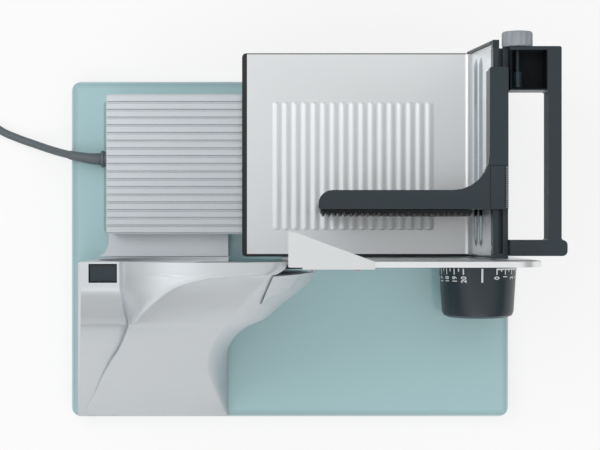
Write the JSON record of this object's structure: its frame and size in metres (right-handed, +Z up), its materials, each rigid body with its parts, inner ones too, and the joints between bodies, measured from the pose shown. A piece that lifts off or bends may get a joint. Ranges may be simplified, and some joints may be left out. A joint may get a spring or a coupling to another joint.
{
  "type": "food slicer",
  "caption": "Electric food slicer on a glass base: round blade, sliding carriage with pusher, stop plate set by a dial, and a mains cord with plug.",
  "frame": {"origin": "middle of the slicer's own box at the level that its feet stand on, without the cord", "axes": "+X along the carriage's travel, away from the motor housing, +Y from the blade towards the carriage, +Z up"},
  "size_m": [0.6547, 0.301, 0.237],
  "materials": {
    "casting": "cast aluminium, satin",
    "steel": "stainless steel, brushed",
    "blade": "hardened stainless steel, ground",
    "zinc": "zinc plated",
    "cast_zinc": "die-cast, as cast",
    "brass": "sintered bronze, plain",
    "glass": "toughened glass, painted grey-green underneath",
    "black": "black plastic, satin",
    "soft_black": "slate plastic, matt",
    "grey": "grey plastic, matt",
    "white": "white plastic, satin",
    "rubber": "black rubber",
    "cord": "grey flexible PVC"
  },
  "bodies": {
    "base": {"glass_base": "glass", "foot_left_far": "rubber", "foot_right_far": "rubber", "foot_left_near": "rubber", "foot_right_near": "rubber", "housing_screw_left": "zinc", "housing_screw_right": "zinc", "housing_screw_front": "zinc", "bed_screw_left": "zinc", "bed_screw_right": "zinc", "bed_screw_near": "zinc", "slide_bed": "casting", "motor_housing": "casting", "switch_base": "soft_black", "slice_deflector": "grey", "gear_carrier": "cast_zinc", "bearing_rear": "brass", "bearing_front": "brass", "worm_bearing": "brass", "carrier_screw_1": "zinc", "carrier_screw_2": "zinc", "carrier_screw_3": "zinc", "motor": "zinc", "lead_screw": "steel", "guide_rod": "steel", "cord_gland": "cord", "cord": "cord", "cord_coil": "cord", "mains_plug": "cord", "lead_mains": "cord", "lead_motor": "cord"},
    "carriage": {"carriage_frame": "soft_black", "glide_strip": "white", "carriage_tray": "steel", "wall_trim": "black", "handle_screw_near": "steel", "handle_screw_far": "steel", "carriage_handle": "soft_black", "carriage_bracket": "cast_zinc", "guide_bush": "brass"},
    "pusher": {"pusher": "soft_black", "pusher_teeth": "black"},
    "lock_knob": {"lock_knob": "grey", "lock_screw": "steel"},
    "stop_plate": {"stop_plate": "casting", "finger_guard": "steel", "guard_screw_left": "zinc", "guard_screw_right": "zinc", "stop_guide_pin_left": "steel", "stop_guide_pin_right": "steel", "dial_bearing": "white"},
    "dial": {"thickness_dial": "soft_black"},
    "blade": {"blade": "blade", "blade_hub": "cast_zinc", "blade_spindle": "steel", "worm_wheel": "white", "spindle_nut": "zinc"},
    "blade_lock": {"blade_lock": "black"},
    "worm": {"motor_worm": "steel"},
    "rocker": {"switch_rocker": "black"}
  },
  "joints": [
    {"name": "carriage_slide", "type": "slide", "parent": "base", "child": "carriage", "axis": [-1, 0, 0], "range_m": [0, 0.165]},
    {"name": "pusher_slide", "type": "slide", "parent": "carriage", "child": "pusher", "axis": [0, -1, 0], "range_m": [-0.014, 0.028]},
    {"name": "lock_turn", "type": "hinge", "parent": "carriage", "child": "lock_knob", "pos_m": [0.15565, 0.13825, 0.156], "axis": [0, 1, 0], "range_deg": [0, 360]},
    {"name": "stop_slide", "type": "slide", "parent": "base", "child": "stop_plate", "axis": [0, -1, 0], "range_m": [0, 0.0215]},
    {"name": "dial_turn", "type": "hinge", "parent": "stop_plate", "child": "dial", "pos_m": [0.13965, -0.02435, 0.052], "axis": [0, -1, 0], "range_deg": [0, 328]},
    {"name": "blade_spin", "type": "hinge", "parent": "base", "child": "blade", "pos_m": [-0.06345, -0.01815, 0.145], "axis": [0, 1, 0], "continuous": true},
    {"name": "blade_lock_turn", "type": "hinge", "parent": "blade", "child": "blade_lock", "pos_m": [-0.06345, -0.02085, 0.145], "axis": [0, 1, 0], "range_deg": [0, 90]},
    {"name": "worm_spin", "type": "hinge", "parent": "base", "child": "worm", "pos_m": [-0.09605, -0.05335, 0.145], "axis": [0, 0, 1], "continuous": true},
    {"name": "rocker_tilt", "type": "hinge", "parent": "base", "child": "rocker", "pos_m": [-0.13785, -0.02435, 0.20986], "axis": [0, -1, 0], "range_deg": [0, 10]}
  ],
  "couplings": [
    {"joint": "dial_turn", "follows": "stop_slide", "rad_per_m": 265.6},
    {"joint": "worm_spin", "follows": "blade_spin", "ratio": -38}
  ]
}
